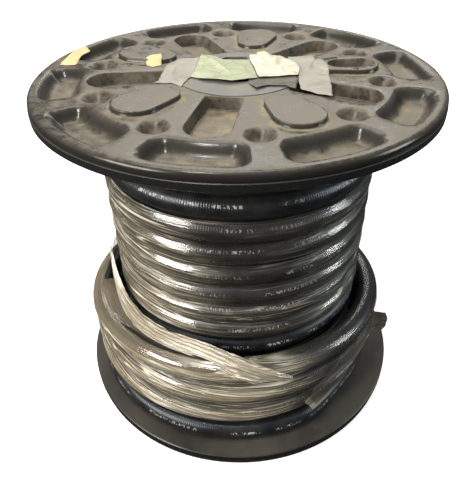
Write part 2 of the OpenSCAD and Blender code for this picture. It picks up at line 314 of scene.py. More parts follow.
class Look:
    """A material whose nodes are added one call at a time."""

    def __init__(self, name, **fixed):
        self.material = bpy.data.materials.new(name)
        self.material.use_nodes = True
        self.tree = self.material.node_tree
        self.shader = self.tree.nodes["Principled BSDF"]
        for key, value in fixed.items():
            self.shader.inputs[key.replace("_", " ")].default_value = value

    def add(self, kind, inputs=None, out=0, **settings):
        return add_node(self.tree, kind, inputs, out, **settings)

    def place(self, stretch=(1, 1, 1), turn=(0, 0, 0)):
        """Object coordinates, scaled and turned."""
        coords = self.add("TexCoord", out=3)
        return self.add("Mapping", {"Vector": coords, "Scale": stretch, "Rotation": turn})

    def stretched(self, x, y):
        """UV coordinates, scaled."""
        return self.add("Mapping", {"Vector": self.add("TexCoord", out=2), "Scale": (x, y, 1.0)})

    def noise(self, scale, detail=4.0, vector=None, roughness=0.55, distortion=0.0):
        inputs = {"Scale": scale, "Detail": detail, "Roughness": roughness, "Distortion": distortion}
        inputs["Vector"] = self.place() if vector is None else vector
        return self.add("TexNoise", inputs)

    def ramp(self, value, low, high, to_low=0.0, to_high=1.0):
        return self.add("MapRange", {0: value, 1: low, 2: high, 3: to_low, 4: to_high})

    def math(self, operation, a, b=0.5):
        return self.add("Math", {0: a, 1: b}, operation=operation)

    def total(self, first, *more):
        for value in more:
            first = self.math("ADD", first, value)
        return first

    def times(self, first, *more):
        for value in more:
            first = self.math("MULTIPLY", first, value)
        return first

    def distance(self, value, centre):
        return self.math("ABSOLUTE", self.math("SUBTRACT", value, centre))

    def mix(self, share, a, b):
        """Colour a where share is 0, and b where it is 1."""
        a, b = ((*colour, 1.0) if isinstance(colour, tuple) else colour for colour in (a, b))
        return self.add("Mix", {0: share, 6: a, 7: b}, out=2, data_type="RGBA")

    def paint(self, key):
        return self.add("Attribute", out=2, attribute_name=key)

    def finish(self, colour, roughness, *bumps, **sockets):
        """The material, its shader linked. Each bump is (height, strength, distance), the lowest first."""
        normal = {}
        for height, strength, distance in bumps:
            made = self.add("Bump", {"Height": height, "Strength": strength, "Distance": distance, **normal})
            normal = {"Normal": made}
        for key, value in {"Base Color": colour, "Roughness": roughness, **normal, **sockets}.items():
            self.tree.links.new(value, self.shader.inputs[key])
        return self.material


def dusty_plastic():
    """Black structural-foam plastic under grey dust, with tan sand where the dust value is high."""
    look = Look("moulding_black", IOR=1.33)
    dust = look.paint("dust")
    broad = look.noise(9.0, 5.0, roughness=0.6)
    mottle = look.noise(48.0, 8.0, roughness=0.72)
    fine = look.noise(170.0, 4.0, roughness=0.7)
    streaks = look.noise(30.0, 5.0, look.place((1.0, 3.2, 1.0), (0, 0, 0.7)), 0.65, 0.8)
    uneven = look.total(look.ramp(broad, 0.3, 0.7, -0.16, 0.16), look.ramp(streaks, 0.35, 0.7, -0.12, 0.14),
                        look.ramp(mottle, 0.3, 0.7, -0.24, 0.24), look.ramp(fine, 0.3, 0.7, -0.12, 0.12))
    # Clean walls are even, and dusty faces are not
    film = look.total(dust, look.times(uneven, look.ramp(dust, 0.05, 0.32, 0.08, 1.0)))
    grey = look.mix(look.ramp(film, 0.0, 0.75), (0.018, 0.0165, 0.0145), (0.180, 0.157, 0.116))
    sand = look.total(dust, look.ramp(streaks, 0.35, 0.65, -0.26, 0.26),
                      look.ramp(mottle, 0.35, 0.65, -0.22, 0.22))
    colour = look.mix(look.ramp(sand, 0.62, 1.10), grey, (0.25, 0.193, 0.118))
    return look.finish(colour, look.ramp(film, 0.05, 0.80, 0.19, 0.80), (fine, 0.25, 0.0006),
                       (look.times(streaks, dust), 0.35, 0.0012))


def rim_plastic():
    """Smooth black plastic with a film of dust on what faces up, and scuffs."""
    look = Look("disc_black", IOR=1.45)
    up = look.add("SeparateXYZ", {0: look.add("NewGeometry", out=1)}, out=2)
    broad = look.noise(7.0, 6.0, roughness=0.65)
    fine = look.noise(220.0, 3.0, roughness=0.7)
    scuffs = look.noise(26.0, 6.0, look.place((1, 1, 5)), 0.7, 1.4)
    dust = look.times(look.ramp(up, 0.5, 0.98), look.ramp(broad, 0.34, 0.66, 0.20, 0.95))
    dust = look.total(dust, look.ramp(scuffs, 0.62, 0.75, 0.0, 0.22), look.ramp(fine, 0.55, 0.8, 0.0, 0.15))
    colour = look.mix(dust, (0.0100, 0.0100, 0.0103), (0.054, 0.048, 0.037))
    return look.finish(colour, look.ramp(dust, 0.0, 0.6, 0.24, 0.70), (fine, 0.12, 0.0005))


def plain_plastic(name, colour, dusty, roughness):
    """A moulded plastic with a mottled film of dust."""
    look = Look(name, IOR=1.45)
    broad = look.noise(24.0, 6.0, roughness=0.65)
    colour = look.mix(look.ramp(broad, 0.35, 0.7), colour, dusty)
    return look.finish(colour, look.ramp(broad, 0.3, 0.7, roughness - 0.08, roughness + 0.14),
                       (look.noise(300.0, 3.0), 0.15, 0.0005))


def zinc_steel():
    look = Look("zinc_steel", Metallic=1.0)
    cloud = look.noise(90.0, 5.0)
    colour = look.mix(look.ramp(cloud, 0.35, 0.65), (0.42, 0.42, 0.40), (0.60, 0.60, 0.57))
    return look.finish(colour, look.ramp(cloud, 0.3, 0.7, 0.32, 0.5), (cloud, 0.1, 0.0003))


def hose_rubber():
    """Black rubber with the fine slanting print of its wrapping cloth, and a broken grey line of marks."""
    look = Look("hose_rubber", IOR=1.43, Specular_Tint=(0.82, 0.88, 1.0, 1.0))
    around = look.add("SeparateXYZ", {0: look.add("TexCoord", out=2)}, out=0)
    ribs = look.add("TexWave", {"Vector": look.stretched(1.2, 1.0), "Scale": 100.0, "Distortion": 0.4,
                                "Detail": 1.0}, out=1, bands_direction="Y")
    cloud = look.noise(38.0, 5.0)
    fine = look.noise(420.0, 3.0)
    band = look.ramp(look.distance(around, LINE_AROUND), 0.0019, 0.0025, 1.0, 0.0)
    marks = look.add("TexNoise", {"Vector": look.stretched(190.0, 420.0), "Scale": 1.0, "Detail": 1.0})
    groups = look.add("TexNoise", {"Vector": look.stretched(0.0, 16.0), "Scale": 1.0, "Detail": 0.0})
    ink = look.times(band, look.ramp(marks, 0.52, 0.57), look.ramp(groups, 0.44, 0.50),
                     look.ramp(cloud, 0.35, 0.6, 0.25, 0.85))
    black = look.mix(look.ramp(cloud, 0.35, 0.75), (0.0075, 0.0075, 0.0085), (0.021, 0.0205, 0.020))
    return look.finish(look.mix(ink, black, (0.42, 0.42, 0.41)), look.ramp(cloud, 0.3, 0.7, 0.25, 0.38),
                       (ribs, 0.30, 0.0006), (fine, 0.15, 0.0004))


def stretch_film(name, dark, tan, light, clear, cloudy, gloss, lines_x, lines_y):
    """Dusty stretch film: clear where pulled tight, with pale lines where it is creased along its pull.

    veil (cloudiness), tan (yellowing) and crease (how many lines) are painted per point. In the valleys between
    turns veil and tan are lowered as painted shade, and where crease is raised the pale lines also stand in for
    painted highlights. UV x runs along the pull.
    """
    look = Look(name, IOR=2.2)
    veil_and_shade, yellow_and_shade, creased = look.paint("veil_and_shade"), look.paint("tan"), look.paint("crease_and_glint")
    broad = look.noise(1.0, 3.0, look.stretched(lines_x, lines_y), 0.5, 0.5)
    fine = look.noise(1.0, 2.0, look.stretched(2.0 * lines_x, 4.0 * lines_y), 0.5, 0.3)
    cloud = look.noise(14.0, 5.0, roughness=0.6)
    patch = look.noise(1.0, 3.0, look.stretched(5.0, 22.0), 0.6)
    # Pale crease lines, which also stand in for painted highlights where the crease paint is raised
    line = look.ramp(look.distance(broad, 0.5), 0.0, 0.022, 1.0, 0.0)
    hair = look.ramp(look.distance(fine, 0.5), 0.0, 0.035, 0.7, 0.0)
    lines = look.times(look.math("MAXIMUM", line, hair), look.ramp(look.total(patch, creased), 0.62, 1.0))
    amount = look.total(veil_and_shade, look.ramp(cloud, 0.3, 0.7, -0.14, 0.14),
                        look.ramp(patch, 0.3, 0.7, -0.14, 0.14), look.times(lines, 0.55))
    colour = look.mix(yellow_and_shade, dark, tan)
    colour = look.mix(look.ramp(broad, 0.30, 0.70, 0.0, 0.85), colour, tuple(0.25 * c for c in tan))
    return look.finish(look.mix(lines, colour, light), look.ramp(cloud, 0.3, 0.7, gloss, gloss + 0.12),
                       (broad, 1.0, 0.0022), (fine, 0.7, 0.0006),
                       Alpha=look.ramp(amount, 0.0, 1.0, clear, cloudy))


def duct_tape():
    """Grey polyethylene over a cloth grid, scuffed."""
    look = Look("duct_tape", IOR=1.45)
    cloud = look.noise(30.0, 6.0, roughness=0.65)
    threads = [look.add("TexWave", {"Vector": look.place(), "Scale": 160.0}, out=1, bands_direction=way)
               for way in "XY"]
    creases = look.noise(60.0, 4.0, look.place((0.35, 1.0, 1.0)), 0.6, 0.6)
    colour = look.mix(look.ramp(cloud, 0.3, 0.72), (0.150, 0.140, 0.120), (0.285, 0.265, 0.225))
    return look.finish(colour, look.ramp(cloud, 0.3, 0.7, 0.36, 0.58), (look.total(*threads), 0.12, 0.0003),
                       (creases, 0.5, 0.0012))


def paper(name, light, dark, crease_darkening):
    """Note paper with fibre grain and shallow creases, darker along them."""
    look = Look(name)
    fibres = look.noise(420.0, 3.0)
    cloud = look.noise(38.0, 5.0, roughness=0.6)
    creases = look.add("TexVoronoi", {"Vector": look.place((1.0, 1.3, 1.0), (0, 0, 0.5)), "Scale": 32.0,
                                      "Randomness": 1.0}, feature="DISTANCE_TO_EDGE")
    colour = look.mix(look.ramp(cloud, 0.35, 0.7), light, dark)
    colour = look.mix(look.ramp(creases, 0.0, 0.05, crease_darkening, 0.0), colour, tuple(0.45 * c for c in dark))
    return look.finish(colour, look.ramp(fibres, 0.3, 0.7, 0.72, 0.92), (fibres, 0.2, 0.0003),
                       (look.ramp(creases, 0.0, 0.10), 0.35, 0.0008))


def masking_tape():
    look = Look("masking_tape")
    crepe = look.noise(70.0, 4.0, look.place((1.0, 4.5, 1.0), (0, 0, 0.3)), 0.6)
    cloud = look.noise(26.0, 5.0)
    colour = look.mix(look.ramp(cloud, 0.3, 0.7), (0.52, 0.43, 0.23), (0.36, 0.29, 0.15))
    return look.finish(colour, look.ramp(cloud, 0.3, 0.7, 0.6, 0.8), (crepe, 0.6, 0.001))


LOOKS = {
    "moulding_black": dusty_plastic(),
    "disc_black": rim_plastic(),
    "arbor_ring": plain_plastic("arbor_ring", (0.062, 0.062, 0.064), (0.150, 0.137, 0.108), 0.42),
    "barrel_black": plain_plastic("barrel_black", (0.014, 0.014, 0.014), (0.040, 0.038, 0.034), 0.45),
    "zinc_steel": zinc_steel(),
    "hose_rubber": hose_rubber(),
    "stretch_film": stretch_film("stretch_film", (0.045, 0.045, 0.038), (0.34, 0.275, 0.175),
                                 (0.78, 0.74, 0.63), 0.10, 1.0, 0.11, 3.0, 75.0),
    "film_rope": stretch_film("film_rope", (0.33, 0.28, 0.20), (0.52, 0.44, 0.31), (0.78, 0.73, 0.61),
                              0.45, 1.0, 0.16, 4.0, 160.0),
    "duct_tape": duct_tape(),
    "paper_green": paper("paper_green", (0.315, 0.345, 0.235), (0.245, 0.27, 0.178), 0.4),
    "paper_cream": paper("paper_cream", (0.52, 0.49, 0.39), (0.40, 0.37, 0.29), 0.5),
    "kraft": paper("kraft", (0.115, 0.108, 0.092), (0.075, 0.070, 0.060), 0.5),
    "masking_tape": masking_tape(),
}


# ---- Flange mouldings ----

FACE_EDGE = 273 * MM
# The moulding drops inside the rim of the flat facing disc, whose plate and rim are this high
SHELL_R = 272.7 * MM
DISC_PLATE, DISC_RIM = 3.5 * MM, 11.7 * MM
POCKET_R, POCKET_HALF_L = 238.5 * MM, 60.5 * MM
POCKET_MOUTH, POCKET_FLOOR, POCKET_DEPTH = 29 * MM, 11 * MM, 15.5 * MM
DIMPLE_R, DIMPLE_MOUTH, DIMPLE_FLOOR, DIMPLE_DEPTH = 196 * MM, 21 * MM, 4 * MM, 14 * MM
SLOT_IN, SLOT_END, SLOT_HALF_IN, SLOT_END_R = 87.5 * MM, 176.5 * MM, 24.5 * MM, 27.5 * MM
SLOT_DEPTH = 17.5 * MM
PAD_IN, PAD_IN_R, PAD_OUT, PAD_OUT_R = 130 * MM, 24 * MM, 167 * MM, 32 * MM
# Rings of points on a pad's flat top, by their distance in from its rounded edge
PAD_RINGS = (2 * MM, 7 * MM, 12 * MM, 17 * MM)
RECESS_FROM, RECESS_TO, RECESS_R, RECESS_DEPTH = 143 * MM, 179 * MM, 15.5 * MM, 12 * MM
# The one pad that has the recess
RECESSED_PAD = PATTERN + STEP10 + STEP5


def arc(centre, radius, start, stop, count):
    """Points of an arc, both ends included."""
    angles = np.linspace(start, stop, count)
    return np.stack([centre[0] + radius * np.cos(angles), centre[1] + radius * np.sin(angles)], -1)


def between(a, b, count):
    """Points between a and b, without either."""
    return a + (b - a) * np.linspace(0, 1, count + 2)[1:-1, None]


def joined(arcs, counts):
    """A closed outline of arcs, with counts points on the straight run after each."""
    parts = []
    for k, count in enumerate(counts):
        parts += [arcs[k], between(arcs[k][-1], arcs[(k + 1) % len(arcs)][0], count)]
    return np.concatenate(parts)


def kidney(grow):
    """Outline of a kidney pocket: a rounded rectangle bent round the axis. grow is its half-width."""
    corner = max(0.66 * grow, 2.4 * MM)
    out, along = grow - corner, grow + POCKET_HALF_L - POCKET_MOUTH - corner
    quarter = math.pi / 2
    corners = [arc((sx * out, sy * along), corner, k * quarter, (k + 1) * quarter, 9)
               for k, (sx, sy) in enumerate(((1, 1), (-1, 1), (-1, -1), (1, -1)))]
    flat = joined(corners, (6, 22, 6, 22))
    radius, angle = POCKET_R + flat[:, 0], flat[:, 1] / POCKET_R
    return np.stack([radius * np.cos(angle), radius * np.sin(angle)], -1)


def bar(near, near_r, far, far_r, grow):
    """Outline of a bar with two round ends and straight flanks, made wider by grow."""
    up = math.pi / 2 + math.asin((far_r - near_r) / (far - near))
    ends = [arc((far, 0), far_r + grow, -up, up, 30), arc((near, 0), near_r + grow, up, 2 * math.pi - up, 24)]
    return joined(ends, (8, 8))


def slot(grow):
    """Outline of a slot: straight flanks, a round outer end and a straight inner end with small corners."""
    corner, quarter = 4 * MM, math.pi / 2
    x, y = SLOT_IN - grow + corner, SLOT_HALF_IN + grow - corner
    outer = arc((SLOT_END, 0), SLOT_END_R + grow, -quarter, quarter, 30)
    upper = arc((x, y), corner, quarter, 2 * quarter, 6)
    lower = arc((x, -y), corner, 2 * quarter, 3 * quarter, 6)
    return joined([outer, upper, lower], (16, 8, 16))


def dimple(grow):
    return arc((DIMPLE_R, 0), grow, 0, 2 * math.pi, 41)[:-1]


def pad(grow):
    return bar(PAD_IN, PAD_IN_R, PAD_OUT, PAD_OUT_R, grow)


def turned(plan, angle):
    c, s = math.cos(angle), math.sin(angle)
    return plan @ np.array([[c, s], [-s, c]])


def inside(plan, outline):
    """Whether each point of plan is in the closed outline."""
    hit = np.zeros(len(plan), bool)
    for a, b in zip(outline, np.roll(outline, -1, 0)):
        rises = (a[1] > plan[:, 1]) != (b[1] > plan[:, 1])
        cut = (b[0] - a[0]) * (plan[:, 1] - a[1]) / (b[1] - a[1] + 1e-15) + a[0]
        hit ^= rises & (plan[:, 0] < cut)
    return hit


class Relief:
    """A surface built from closed outlines in plan, each at its own height, joined ring to ring."""

    def __init__(self):
        self.plan, self.height, self.dust, self.faces = [], [], [], []

    def ring(self, plan, height, dust):
        start = sum(len(p) for p in self.plan)
        self.plan.append(plan)
        self.height.append(np.full(len(plan), height))
        self.dust.append(np.full(len(plan), dust))
        return np.arange(start, start + len(plan))

    def join(self, outer, inner):
        after_o, after_i = np.roll(outer, -1), np.roll(inner, -1)
        self.faces += [tuple(int(v) for v in f) for f in zip(outer, after_o, after_i, inner)]

    def fill(self, ring):
        self.faces.append(tuple(int(v) for v in ring))

    def bowl(self, shape, angle, levels):
        """Rings of shape(grow) turned to angle, one for each (grow, height, dust), joined in their order."""
        rings = [self.ring(turned(shape(grow), angle), height, dust) for grow, height, dust in levels]
        for outer, inner in zip(rings, rings[1:]):
            self.join(outer, inner)
        return rings

    def arrays(self):
        return np.concatenate(self.plan), np.concatenate(self.height), np.concatenate(self.dust)


def slope(start, stop, top, bottom, count, dusts):
    """Levels of a soft wall from (start, top) to (stop, bottom), with a rounded lip and foot."""
    steps = np.linspace(0, 1, count)
    return [(start + (stop - start) * t, top + (bottom - top) * float(smooth(t)),
             dusts[0] + (dusts[1] - dusts[0]) * float(smooth(2 * t - 1)) - 0.18 * math.sin(math.pi * t))
            for t in steps]


def wall(start, top, bottom, round_r, draft, dusts):
    """Levels of a steep wall: a rounded lip at start, a straight fall and a small fillet at the foot."""
    steps = np.radians([0, 30, 60, 90])
    low = bottom + round_r
    lip = [(start + round_r * (1 - math.sin(a)), top - round_r * (1 - math.cos(a)), dusts[0]) for a in steps]
    foot = [(start - draft - round_r * (1 - math.cos(a)), low - round_r * math.sin(a), dusts[1])
            for a in steps]
    return lip + foot


def pad_levels(top_dust):
    """Levels of a raised pad, from its foot on the face to its top."""
    edge = 1.6 * MM
    foot = [(2.0 * MM, FLANGE_T, 0.72), (0.7 * MM, FLANGE_T + 0.3 * MM, 0.45), (0, FLANGE_T + 1.2 * MM, 0.02)]
    top = [(-edge * (1 - math.cos(a)), FLANGE_T + PAD_H - edge * (1 - math.sin(a)), 0.1 + 0.15 * math.sin(a))
           for a in np.radians([0, 30, 60, 90])]
    return foot + top + [(-edge - d, FLANGE_T + PAD_H, top_dust) for d in PAD_RINGS]


def flange_features():
    """(shape, levels, angle) of everything sunk into or raised from a flange's face."""
    face = FLANGE_T
    pocket = slope(POCKET_MOUTH, POCKET_FLOOR, face, face - POCKET_DEPTH, 11, (0.20, 0.42))
    pocket += [(7 * MM, face - POCKET_DEPTH - 0.3 * MM, 0.50), (3 * MM, face - POCKET_DEPTH, 0.46)]
    hollow = slope(DIMPLE_MOUTH, DIMPLE_FLOOR, face, face - DIMPLE_DEPTH, 9, (0.40, 0.78))
    sunk = wall(0, face, face - SLOT_DEPTH, 1.5 * MM, 0.8 * MM, (0.25, 0.30))
    sunk += [(-d * MM, face - SLOT_DEPTH, 0.64) for d in (6, 11, 16, 20)]
    features = []
    for k in range(10):
        features.append((kidney, pocket, PATTERN + k * STEP10))
        features.append((dimple, hollow, PATTERN + (k + 0.5) * STEP10))
    for k in range(5):
        features.append((slot, sunk, PATTERN + k * STEP5))
        features.append((pad, pad_levels(0.30), PATTERN + STEP10 + k * STEP5))
    return features


def recess(grow):
    return bar(RECESS_FROM, RECESS_R, RECESS_TO, RECESS_R, grow)


def recess_levels():
    """Levels of the oval recess in the top of a pad."""
    top = FLANGE_T + PAD_H
    floor = [(-d * MM, top - RECESS_DEPTH, 0.6) for d in (6, 11)]
    return wall(0, top, top - RECESS_DEPTH, 1.2 * MM, 0.6 * MM, (0.30, 0.35)) + floor


def net(low, high, spacing):
    """Points of a triangular net from corner low to corner high."""
    xs, ys = np.meshgrid(np.arange(low[0], high[0], spacing),
                         np.arange(low[1], high[1], spacing * math.sqrt(0.75)))
    xs[1::2] += spacing / 2
    return np.stack([xs.ravel(), ys.ravel()], -1)


def clear_of(spots, fixed, gap):
    """The spots that are further than gap from every fixed point."""
    near = np.array([np.min(np.sum((fixed - spot) ** 2, 1)) for spot in spots])
    return spots[near > gap ** 2]


def flat_between(relief, outer, holes, spacing=None, height=0.0, dust=0.0):
    """Fills the flat face between outer and the rings in holes, over a net of points if spacing is given."""
    whole = np.concatenate(relief.plan)
    loops = [outer, *holes]

    def on_face(plan):
        keep = inside(plan, whole[outer])
        for hole in holes:
            keep &= ~inside(plan, whole[hole])
        return keep

    points = np.concatenate([whole[loop] for loop in loops])
    index = np.concatenate(loops)
    if spacing:
        reach = np.abs(whole[outer]).max() * np.array((1, math.sqrt(0.75)))
        spots = net(-reach, reach, spacing)
        spots = clear_of(spots[on_face(spots)], points, 0.45 * spacing)
        index = np.concatenate([index, relief.ring(spots, height, dust)])
        points = np.concatenate([points, spots])
    edges = []
    for loop in loops:
        first, count = len(edges), len(loop)
        edges += [(first + i, first + (i + 1) % count) for i in range(count)]
    made = geometry.delaunay_2d_cdt([Vector(p) for p in points], edges, [], 0, 1e-7)
    places = np.array([tuple(v) for v in made[0]])
    triangles = np.array(made[2])
    source = [int(index[origins[0]]) for origins in made[3]]
    relief.faces += [tuple(source[v] for v in t) for t in triangles[on_face(places[triangles].mean(1))]]


def moulding():
    """Points, faces and dust of a flange moulding, hose side at z = 0 and outer face up."""
    relief = Relief()
    circle = lambda r, n=300: arc((0, 0), r, 0, 2 * math.pi, n + 1)[:-1]
    rings = []
    for shape, levels, angle in flange_features():
        # One pad's flat top is filled round its recess, the other features are filled as they are
        is_recessed = shape is pad and abs(angle - RECESSED_PAD) < 1e-6
        made = relief.bowl(shape, angle, levels[:-len(PAD_RINGS)] if is_recessed else levels)
        rings.append(made[0])
        if is_recessed:
            sunk = relief.bowl(recess, angle, recess_levels())
            relief.fill(sunk[-1])
            flat_between(relief, made[-1], [sunk[0]])
        else:
            relief.fill(made[-1])
    outer = relief.ring(circle(FACE_EDGE), FLANGE_T, 0.26)
    inner = relief.ring(circle(SPIGOT_R, 180), FLANGE_T, 0.3)
    flat_between(relief, outer, [inner, *rings], 9 * MM, FLANGE_T, 0.30)
    rim = [(FACE_EDGE + 6 * MM * math.sin(a), FLANGE_T - 6 * MM * (1 - math.cos(a)), 0.22 - 0.2 * a)
           for a in np.radians([12, 24, 38, 54, 72, 90])]
    rim += [(FLANGE_R - 1 * MM, DISC_RIM + 0.6 * MM, 0.0), (FLANGE_R - 1.5 * MM, DISC_RIM, 0.0),
            (SHELL_R, DISC_RIM, 0.0), (SHELL_R, DISC_PLATE, 0.0)]
    last = outer
    for radius, height, dust in rim:
        ring = relief.ring(circle(radius), height, dust)
        relief.join(ring, last)
        last = ring
    under = relief.ring(circle(SPIGOT_R, 180), DISC_PLATE, 0.0)
    relief.join(inner, under)
    stitch(relief, last, under)
    plan, height, dust = relief.arrays()
    # The foamed plastic's faces aren't quite flat
    lift = np.array([rough(x * 14, y * 14, 3.0) for x, y in plan]) * 0.35 * MM
    lift *= smooth((height - 14 * MM) / (6 * MM))
    return np.column_stack([plan, height + lift]), relief.faces, dust


def stitch(relief, outer, inner):
    """Triangles between two circles with different numbers of points."""
    n, m, i, j = len(outer), len(inner), 0, 0
    while i < n or j < m:
        if (i + 1) / n <= (j + 1) / m:
            relief.faces.append((int(outer[i % n]), int(outer[(i + 1) % n]), int(inner[j % m])))
            i += 1
        else:
            relief.faces.append((int(outer[i % n]), int(inner[(j + 1) % m]), int(inner[j % m])))
            j += 1


AT_TOP = Matrix.Translation((0, 0, HIGH_IN))
AT_BOTTOM = (
    Matrix.Translation((0, 0, LOW_IN))
    @ Matrix.Rotation(2 * PATTERN, 4, "Z")
    @ Matrix.Rotation(math.pi, 4, "X")
)


def make_mouldings():
    points, faces, dust = moulding()
    for node, place in (("upper_flange_moulding", AT_TOP), ("lower_flange_moulding", AT_BOTTOM)):
        obj = make_object(node + "_shell", points, faces, LOOKS["moulding_black"], paint={"dust": dust})
        outward(obj)
        obj.data.transform(place)
        obj.data.set_sharp_from_angle(angle=math.radians(40))
        add_piece(obj, "moulding_black", node)


# ---- Hose ----

# The hose runs clockwise seen from above. Its turns are counted from the direction START, where each step
# to the next turn ends
START = math.radians(60)
# The last sixth of each turn is the step to the next one
STEP_FROM = 5 / 6
# The inner layer lies in the grooves of the outer one, which rides out where it steps over it
INNER_R = LAYER_R - 30.3 * MM
STEP_OUT = 4.7 * MM
# The loose turns follow the two layers, and the first one leaves from beside the winding
LOOSE_FROM = 2 * TURNS
HOSE_END = LOOSE_FROM + 3.855
BUNCHED_R = LAYER_R + 2 * HOSE_R
# Each climbs to the next at the back, a third of a turn long. LOOSE_STEP is its climb without the lean
CLIMB_FROM, CLIMB_SPAN = 0.75, 1 / 3
LOOSE_STEP = (LOOSE_TOP_Z - FIRST_Z) / 3 - RISE


def hose_level(turn):
    """How many loose turns up the hose is, at turn."""
    return sum(smooth((turn - LOOSE_FROM - k - CLIMB_FROM) / CLIMB_SPAN) for k in range(3))


def hose_at(turn):
    """(radius, height, share of the loose turns' shift) of the hose's centre line after that many turns."""
    turn = np.asarray(turn, float)
    whole, part = np.floor(turn), turn % 1
    step = smooth((part - STEP_FROM) / (1 - STEP_FROM))
    over = np.sin(2 * math.pi * np.clip((part - STEP_FROM) / (1 - STEP_FROM), 0, 1)) ** 2
    last = whole == TURNS - 1
    inner_r = np.where(last, INNER_R + (LAYER_R - INNER_R) * step, INNER_R)
    inner_z = FIRST_Z + PITCH * (0.5 + np.where(last, whole - 0.5 * step, whole + step))
    down = 2 * TURNS - 1 - whole
    last = down == 0
    outer_r = np.where(last, LAYER_R + (BUNCHED_R - LAYER_R) * step, LAYER_R + STEP_OUT * over)
    outer_z = FIRST_Z + PITCH * np.where(last, 0, down - step)
    free = turn - LOOSE_FROM
    spread = smooth((free - 0.28) / 0.07)
    squeezed = smooth((free - 1.1) / 0.1) * smooth((1.42 - free) / 0.1)
    loose_r = BUNCHED_R + (LOOSE_R - BUNCHED_R) * spread - 5 * MM * squeezed
    sway = 2.5 * MM * np.sin(2 * math.pi * (free - 0.15)) * smooth(free - 0.5)
    to_front = -np.sin(START - 2 * math.pi * turn)
    loose_z = FIRST_Z + (LOOSE_STEP + RISE * to_front) * hose_level(turn) + sway * smooth((3 - free) / 0.4)
    radius = np.where(turn < TURNS, inner_r, np.where(turn < LOOSE_FROM, outer_r, loose_r))
    height = np.where(turn < TURNS, inner_z, np.where(turn < LOOSE_FROM, outer_z, loose_z))
    return radius, height, np.where(turn < LOOSE_FROM, 0.0, spread)


def hose_line(turn):
    """Points of the hose's centre line, and the outward direction at each."""
    radius, height, shifted = hose_at(turn)
    angle = START - 2 * math.pi * np.asarray(turn)
    out = np.stack([np.cos(angle), np.sin(angle), np.zeros_like(angle)], -1)
    points = radius[:, None] * out
    points[:, 0] += LOOSE_X * shifted
    points[:, 1] += LOOSE_Y * shifted
    points[:, 2] = height
    return points, out


def make_hose():
    """One continuous tube: two layers of turns, then the four loose turns, with its open end at the back."""
    turns = np.concatenate([np.arange(0, TURNS, 1 / 72), np.arange(TURNS, HOSE_END, 1 / 132), [HOSE_END]])
    line, out = hose_line(turns)
    along = np.concatenate([[0], np.cumsum(np.linalg.norm(np.diff(line, axis=0), axis=1))])
    ahead = unit(np.gradient(line, axis=0))
    side = unit(out - ahead * np.sum(out * ahead, 1, keepdims=True))
    up = np.cross(ahead, side)
    rows, sides = len(turns), 26
    # The printed line sits a little above the outermost point of the section and wanders slowly
    line_at = np.radians(24) + 0.2 * np.sin(along * 1.3) + 0.12 * np.sin(along * 3.1 + 1)
    section = line_at[:, None] + 2 * math.pi * (np.arange(sides)[None] / sides - 0.5)
    ring = np.cos(section)[..., None] * side[:, None] + np.sin(section)[..., None] * up[:, None]
    points = list((line[:, None] + HOSE_R * ring).reshape(-1, 3))
    faces = grid_faces(rows, sides, closed=True)
    girth = 2 * math.pi * HOSE_R
    corners = []
    for low, high in zip(along, along[1:]):
        for j in range(sides):
            a, b = j / sides * girth, (j + 1) / sides * girth
            corners += [(a, low), (b, low), (b, high), (a, high)]
    # The cut end shows the wall and the bore, and the hidden first end is closed
    last = (rows - 1) * sides
    for back in (0, 24 * MM):
        first = len(points)
        points += list(line[-1] - ahead[-1] * back + HOSE_BORE_R * ring[-1])
        faces += [(last + j, last + (j + 1) % sides, first + (j + 1) % sides, first + j)
                  for j in range(sides)]
        corners += [(0.0, along[-1])] * (4 * sides)
        last = first
    for cap in (range(last, last + sides), range(sides - 1, -1, -1)):
        faces.append(tuple(cap))
        corners += [(0.0, 0.0)] * sides
    hose = make_object("hose", points, faces, LOOKS["hose_rubber"], sharp=50)
    set_uv(hose.data, corners)
    add_piece(hose, "hose_rubber", "hose_main_winding", "hose_outer_turns")
    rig.cord(hose, exit=line[0], length=float(along[-1]), diameter=2 * HOSE_R, far_end="bare",
            stiffness="stiff", lay="coiled", path=line)


# ---- Film ----

# The film clears the hose by this much, and lies on a turn up to this far above and below its centre
CLEAR = 0.9 * MM
HUG = 11 * MM
# How far above the centre of the top loose turn the outer wrap ends, away from the right side
FILM_TOP = 6.5 * MM


def loose_crests(angle):
    """(radius, height) of the centre of each loose turn in that direction, from the bottom up."""
    first = LOOSE_FROM + ((START - angle) / (2 * math.pi)) % 1
    crossings = [first + k for k in range(4) if first + k <= HOSE_END]
    radius, height, _ = hose_at(crossings)
    return list(zip(radius, height))


def loose_top(angle):
    """Height of the top loose turn's centre in that direction."""
    return FIRST_Z + 3 * (LOOSE_STEP - RISE * math.sin(angle))


def over_crests(height, crests):
    """Radius of a film pulled over the turns: round each near its crest, and a shallow bridge between two."""
    wrap = math.sqrt(HOSE_R ** 2 - HUG ** 2)
    lean = HUG / wrap
    below = [c for c in crests if c[1] <= height]
    above = [c for c in crests if c[1] > height]
    near = min(crests, key=lambda c: abs(c[1] - height))
    off = height - near[1]
    if abs(off) <= HUG or not below or not above:
        off = min(abs(off), 0.8 * HOSE_R)
        return near[0] + math.sqrt(HOSE_R ** 2 - off ** 2)
    (low_r, low_z), (high_r, high_z) = below[-1], above[0]
    start, span = low_z + HUG, high_z - low_z - 2 * HUG
    if span <= 0:
        return max(low_r, high_r) + wrap
    t = (height - start) / span
    a, b = low_r + wrap, high_r + wrap
    ease = t * t * (3 - 2 * t)
    return a + (b - a) * ease - lean * span * (t * (1 - t) ** 2 + t * t * (1 - t))


def wrinkles(angle, height, seed):
    """Small folds that run along the film's pull, in metres, never negative."""
    fine = rough(angle * 3.0, height * 210 + angle * 2.2, seed)
    broad = rough(angle * 1.6, height * 70 - angle * 1.2, seed + 9)
    return (0.55 * max(0.0, fine + 0.1) + 0.7 * max(0.0, broad)) * MM


def from_back(u):
    """The direction at share u of the way round, counted from the back, where the creases meet."""
    return math.pi * (0.5 + 2 * u)


